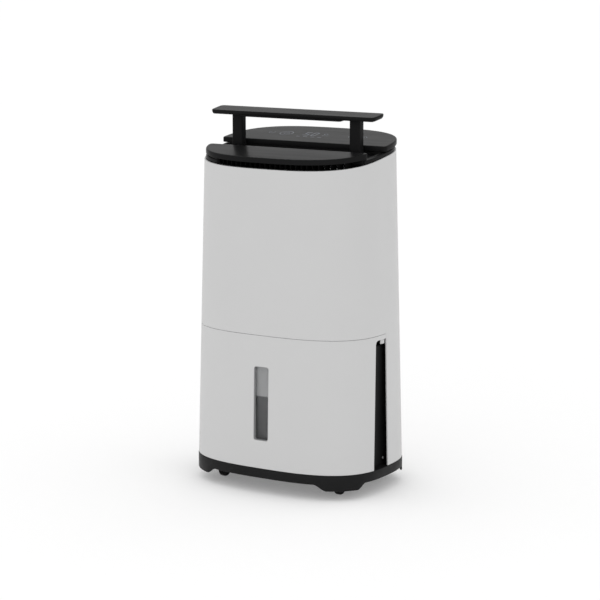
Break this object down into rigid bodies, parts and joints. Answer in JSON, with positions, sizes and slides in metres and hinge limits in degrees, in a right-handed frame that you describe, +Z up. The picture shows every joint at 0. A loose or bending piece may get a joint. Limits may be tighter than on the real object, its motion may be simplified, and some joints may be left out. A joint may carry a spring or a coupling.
{
  "type": "dehumidifier",
  "caption": "Tapered tower dehumidifier on casters with a tilted deck, lift-up handle, pull-out water tank with a level window, and a rear intake grille with filter.",
  "frame": {"origin": "on the floor under the middle of the tower", "axes": "+Z up, the front with the level window faces -Y, +X to the right seen from the front"},
  "size_m": [0.3208, 0.238, 0.5879],
  "materials": {
    "white_shell": "satin",
    "deck_black": "satin",
    "base_black": "matte",
    "grey_frame": "matte",
    "mesh_fabric": "woven",
    "clear_window": "clear",
    "smoke_bucket": "frosted",
    "float_foam": "matte",
    "steel_parts": "zinc plated",
    "fin_aluminium": "mill",
    "copper_tube": "copper",
    "compressor_black": "satin",
    "rubber_parts": "matte",
    "circuit_board": "satin",
    "wheel_nylon": "matte"
  },
  "bodies": {
    "chassis": {"base_band": "base_black", "base_plate": "base_black", "base_bosses": "base_black", "main_casing": "white_shell", "rear_cover": "white_shell", "deck_frame": "base_black", "front_plate": "deck_black", "control_plate": "deck_black", "display_board": "circuit_board", "outlet_fins": "base_black", "handle_guides": "base_black", "bay_chassis": "base_black", "wing_screws": "steel_parts", "drip_tray": "grey_frame", "condenser_fins": "fin_aluminium", "condenser_tubes": "copper_tube", "evaporator_fins": "fin_aluminium", "evaporator_tubes": "copper_tube", "compressor": "compressor_black", "compressor_grommets": "rubber_parts", "accumulator": "compressor_black", "refrigerant_pipes": "copper_tube", "fan_scroll": "grey_frame", "fan_motor": "steel_parts", "control_box": "grey_frame", "power_board": "circuit_board", "run_capacitor": "fin_aluminium", "sensors": "circuit_board", "drain_spout": "grey_frame", "mains_gland": "base_black", "rear_screws": "steel_parts"},
    "handle": {"handle_bar": "deck_black", "handle_posts": "deck_black"},
    "tank": {"tank_front": "white_shell", "tank_window": "clear_window", "tank_bucket": "smoke_bucket", "tank_lid": "smoke_bucket", "tank_screws": "steel_parts", "float_pin": "steel_parts"},
    "bail": {"tank_bail": "base_black"},
    "float": {"float_arm": "grey_frame", "float_block": "float_foam"},
    "grille": {"intake_grille": "white_shell", "filter_frame": "grey_frame", "filter_mesh": "mesh_fabric"},
    "fan": {"fan_impeller": "base_black", "motor_shaft": "steel_parts"},
    "plug": {"drain_plug": "rubber_parts"},
    "swivel_front_left": {"caster_fork_front_left": "base_black", "caster_axle_front_left": "steel_parts"},
    "wheel_front_left": {"caster_wheel_front_left": "wheel_nylon"},
    "swivel_front_right": {"caster_fork_front_right": "base_black", "caster_axle_front_right": "steel_parts"},
    "wheel_front_right": {"caster_wheel_front_right": "wheel_nylon"},
    "swivel_rear_left": {"caster_fork_rear_left": "base_black", "caster_axle_rear_left": "steel_parts"},
    "wheel_rear_left": {"caster_wheel_rear_left": "wheel_nylon"},
    "swivel_rear_right": {"caster_fork_rear_right": "base_black", "caster_axle_rear_right": "steel_parts"},
    "wheel_rear_right": {"caster_wheel_rear_right": "wheel_nylon"}
  },
  "joints": [
    {"name": "handle_lift", "type": "slide", "parent": "chassis", "child": "handle", "axis": [0, 0, 1], "range_m": [-0.051, 0]},
    {"name": "tank_slide", "type": "slide", "parent": "chassis", "child": "tank", "axis": [0, -1, 0], "range_m": [0, 0.26]},
    {"name": "bail_swing", "type": "hinge", "parent": "tank", "child": "bail", "pos_m": [0, -0.03, 0.2105], "axis": [-1, 0, 0], "range_deg": [0, 85]},
    {"name": "float_rise", "type": "hinge", "parent": "tank", "child": "float", "pos_m": [0.117, -0.018, 0.19], "axis": [-1, 0, 0], "range_deg": [0, 16]},
    {"name": "grille_pull", "type": "slide", "parent": "chassis", "child": "grille", "axis": [0, 1, 0], "range_m": [0, 0.12]},
    {"name": "fan_spin", "type": "hinge", "parent": "chassis", "child": "fan", "pos_m": [0, 0, 0.384], "axis": [0, 1, 0], "continuous": true},
    {"name": "plug_pull", "type": "slide", "parent": "chassis", "child": "plug", "axis": [0, 1, 0], "range_m": [0, 0.03]},
    {"name": "swivel_front_left", "type": "hinge", "parent": "chassis", "child": "swivel_front_left", "pos_m": [-0.1067, -0.067, 0.03], "axis": [0, 0, 1], "continuous": true},
    {"name": "roll_front_left", "type": "hinge", "parent": "swivel_front_left", "child": "wheel_front_left", "pos_m": [-0.1067, -0.056, 0.013], "axis": [1, 0, 0], "continuous": true},
    {"name": "swivel_front_right", "type": "hinge", "parent": "chassis", "child": "swivel_front_right", "pos_m": [0.1067, -0.067, 0.03], "axis": [0, 0, 1], "continuous": true},
    {"name": "roll_front_right", "type": "hinge", "parent": "swivel_front_right", "child": "wheel_front_right", "pos_m": [0.1067, -0.056, 0.013], "axis": [1, 0, 0], "continuous": true},
    {"name": "swivel_rear_left", "type": "hinge", "parent": "chassis", "child": "swivel_rear_left", "pos_m": [-0.1067, 0.067, 0.03], "axis": [0, 0, 1], "continuous": true},
    {"name": "roll_rear_left", "type": "hinge", "parent": "swivel_rear_left", "child": "wheel_rear_left", "pos_m": [-0.1067, 0.056, 0.013], "axis": [1, 0, 0], "continuous": true},
    {"name": "swivel_rear_right", "type": "hinge", "parent": "chassis", "child": "swivel_rear_right", "pos_m": [0.1067, 0.067, 0.03], "axis": [0, 0, 1], "continuous": true},
    {"name": "roll_rear_right", "type": "hinge", "parent": "swivel_rear_right", "child": "wheel_rear_right", "pos_m": [0.1067, 0.056, 0.013], "axis": [1, 0, 0], "continuous": true}
  ]
}
